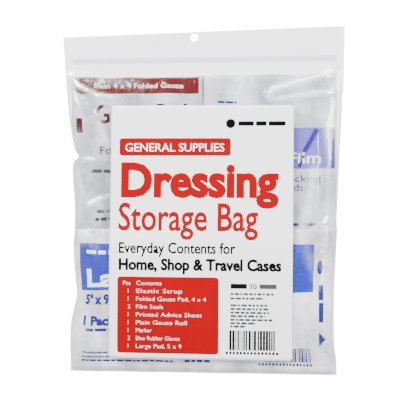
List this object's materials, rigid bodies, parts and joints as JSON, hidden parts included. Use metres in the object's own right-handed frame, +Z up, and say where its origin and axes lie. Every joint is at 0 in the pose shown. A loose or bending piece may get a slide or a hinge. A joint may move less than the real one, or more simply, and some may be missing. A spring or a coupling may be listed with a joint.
{
  "type": "bleeding control kit with windlass tourniquet",
  "caption": "Clear reclosable bag of sealed wound dressings with a front label, holding a windlass tourniquet, marker, gloves and leaflet.",
  "frame": {"origin": "centre of the hang hole in the bag lip, midway between its two films", "axes": "+Z up towards the lip, front label faces -Y, +X to the right seen from the front"},
  "size_m": [0.281, 0.0574, 0.342],
  "materials": {
    "clear_film": "thin clear polyethylene film, glossy",
    "zip_plastic": "translucent polyethylene zip profile",
    "label_paper": "white coated label stock, semi-gloss",
    "pouch_paper": "white peel pouch sheet with flat print",
    "pouch_film": "satin pouch backing film",
    "dressing_cloth": "white woven gauze",
    "seal_gel": "soft clear gel seal on a film",
    "leaflet_paper": "uncoated folded paper",
    "glove_rubber": "thin matt nitrile",
    "marker_barrel": "satin barrel",
    "marker_cap": "glossy moulded cap",
    "marker_nib": "felt fibre",
    "black_webbing": "woven nylon webbing with loop pile",
    "grey_webbing": "woven nylon webbing",
    "red_webbing": "woven nylon tab",
    "black_nylon": "moulded glass-filled nylon",
    "white_strap": "woven strap with hook tape"
  },
  "bodies": {
    "root": {"front_film": "clear_film", "back_film": "clear_film", "back_lip": "clear_film", "zip_groove": "zip_plastic", "kit_label": "label_paper", "trauma_pouch_front": "pouch_paper", "trauma_pouch_back": "pouch_film", "trauma_pad": "dressing_cloth", "dressing_pouch_front": "pouch_paper", "dressing_pouch_back": "pouch_film", "dressing_pad": "dressing_cloth", "chest_pouch_a_front": "pouch_paper", "chest_pouch_a_back": "pouch_film", "chest_seal_a": "seal_gel", "chest_pouch_b_front": "pouch_paper", "chest_pouch_b_back": "pouch_film", "chest_seal_b": "seal_gel", "roll_pouch_front": "pouch_paper", "roll_pouch_back": "pouch_film", "gauze_roll": "dressing_cloth", "instruction_leaflet": "leaflet_paper", "glove_left": "glove_rubber", "glove_right": "glove_rubber", "marker_barrel": "marker_barrel", "marker_nib": "marker_nib", "marker_plug": "marker_cap", "outer_band": "black_webbing", "inner_band": "grey_webbing", "band_free_end": "black_webbing", "pull_tab": "red_webbing", "base_plate": "black_nylon", "band_riser": "grey_webbing", "windlass_clip": "black_nylon", "buckle": "black_nylon"},
    "mouth": {"front_lip": "clear_film", "zip_rib": "zip_plastic"},
    "windlass": {"windlass_rod": "black_nylon", "rod_band_loop": "grey_webbing"},
    "strap": {"securing_strap": "white_strap"},
    "cap": {"marker_cap": "marker_cap"}
  },
  "joints": [
    {"name": "mouth_open", "type": "hinge", "parent": "root", "child": "mouth", "pos_m": [0.008, -0.0012, -0.0315], "axis": [1, 0, 0], "range_deg": [0, 60]},
    {"name": "windlass_turn", "type": "hinge", "parent": "root", "child": "windlass", "pos_m": [0.008, 0.03075, -0.15], "axis": [0, 1, 0], "range_deg": [-540, 540]},
    {"name": "strap_lift", "type": "hinge", "parent": "root", "child": "strap", "pos_m": [-0.0005, 0.0128, -0.2], "axis": [0, 0, -1], "range_deg": [0, 30]},
    {"name": "cap_pull", "type": "slide", "parent": "root", "child": "cap", "axis": [0, 0, 1], "range_m": [0, 0.045]}
  ]
}
